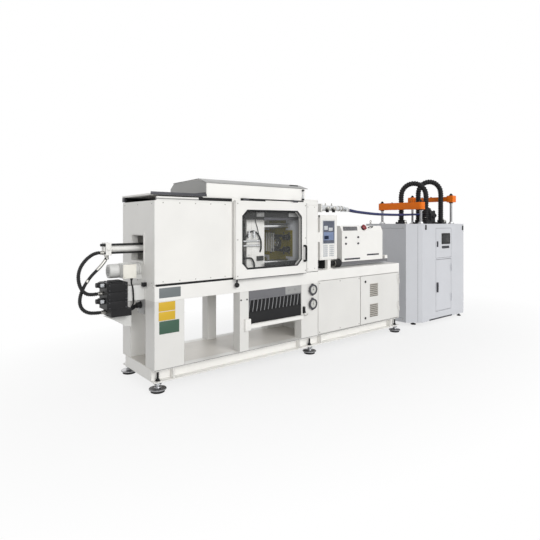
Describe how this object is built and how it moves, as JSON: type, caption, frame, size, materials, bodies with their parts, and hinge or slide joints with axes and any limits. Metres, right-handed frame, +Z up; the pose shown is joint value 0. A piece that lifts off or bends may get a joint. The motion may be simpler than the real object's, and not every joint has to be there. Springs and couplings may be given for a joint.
{
  "type": "liquid silicone injection molding machine",
  "caption": "Horizontal liquid silicone injection molding machine on a steel base, with a sliding guard gate, an injection unit and a drum dosing cabinet with hoses.",
  "frame": {"origin": "on the floor, under the middle of the box round the rigid pieces", "axes": "+X along the machine from the clamp end to the dosing unit, +Y from the operator side to the back, +Z up"},
  "size_m": [6.0719, 0.985, 2.258],
  "materials": {
    "white_paint": "satin",
    "pan_paint": "satin",
    "grey_paint": "satin",
    "orange_paint": "satin",
    "black_paint": "satin",
    "machined_steel": "satin",
    "bar_chrome": "polished",
    "window_glass": "clear",
    "black_plastic": "matte",
    "red_plastic": "satin",
    "curtain_rubber": "matte",
    "hose_rubber": "matte",
    "feed_rubber": "satin"
  },
  "bodies": {
    "machine": {"base_rails": "white_paint", "crossbars": "white_paint", "legs": "white_paint", "top_beams": "white_paint", "bed": "white_paint", "pump_housing": "white_paint", "base_panel": "white_paint", "cabinet_walls": "white_paint", "chute_lip": "white_paint", "guard_left_panel": "white_paint", "guard_end_panel": "white_paint", "guard_rear_panel": "white_paint", "guard_right_panels": "white_paint", "lid": "white_paint", "hood": "white_paint", "clamp_cylinder": "white_paint", "control_panel": "white_paint", "mixer_stand": "white_paint", "floor_pan": "pan_paint", "dosing_walls": "grey_paint", "dosing_front": "grey_paint", "dosing_top": "grey_paint", "tail_platen": "grey_paint", "fixed_platen": "grey_paint", "pump_motor": "grey_paint", "valve_bracket": "grey_paint", "gate_tracks": "black_paint", "valve_manifold": "black_paint", "pull_cylinder": "black_paint", "pump_block": "black_paint", "clamp_tie_rods": "black_paint", "guide_rails": "machined_steel", "mixer": "machined_steel", "gauges": "machined_steel", "ram_tubes": "machined_steel", "feet": "machined_steel", "tie_bars": "bar_chrome", "rear_window": "window_glass", "dosing_feet": "black_plastic", "chute_curtain": "curtain_rubber", "hose_upper": "hose_rubber", "hose_lower": "hose_rubber", "loop_hose_a": "hose_rubber", "loop_hose_b": "hose_rubber", "feed_hose_a": "feed_rubber", "feed_hose_b": "feed_rubber"},
    "gate": {"gate": "white_paint", "gate_window": "window_glass", "gate_handle": "black_plastic"},
    "platen": {"moving_platen": "white_paint", "toggle_links": "machined_steel"},
    "carriage": {"carriage": "grey_paint", "barrel": "machined_steel", "injection_cover": "white_paint", "stop_button": "red_plastic"},
    "cabinet_door": {"electric_door": "white_paint"},
    "dosing_door": {"dosing_door": "grey_paint"},
    "ram_a": {"ram_a": "orange_paint"},
    "ram_b": {"ram_b": "orange_paint"}
  },
  "joints": [
    {"name": "gate_slide", "type": "slide", "parent": "machine", "child": "gate", "axis": [-1, 0, 0], "range_m": [0, 0.83]},
    {"name": "platen_slide", "type": "slide", "parent": "machine", "child": "platen", "axis": [1, 0, 0], "range_m": [0, 0.32]},
    {"name": "carriage_slide", "type": "slide", "parent": "machine", "child": "carriage", "axis": [1, 0, 0], "range_m": [0, 0.2]},
    {"name": "cabinet_door_hinge", "type": "hinge", "parent": "machine", "child": "cabinet_door", "pos_m": [1.157, -0.3955, 0.5], "axis": [0, 0, 1], "range_deg": [0, 110]},
    {"name": "dosing_door_hinge", "type": "hinge", "parent": "machine", "child": "dosing_door", "pos_m": [2.564, -0.4155, 0.6], "axis": [0, 0, 1], "range_deg": [0, 110]},
    {"name": "ram_a_lift", "type": "slide", "parent": "machine", "child": "ram_a", "axis": [0, 0, 1], "range_m": [0, 0.3]},
    {"name": "ram_b_lift", "type": "slide", "parent": "machine", "child": "ram_b", "axis": [0, 0, 1], "range_m": [0, 0.3]}
  ]
}
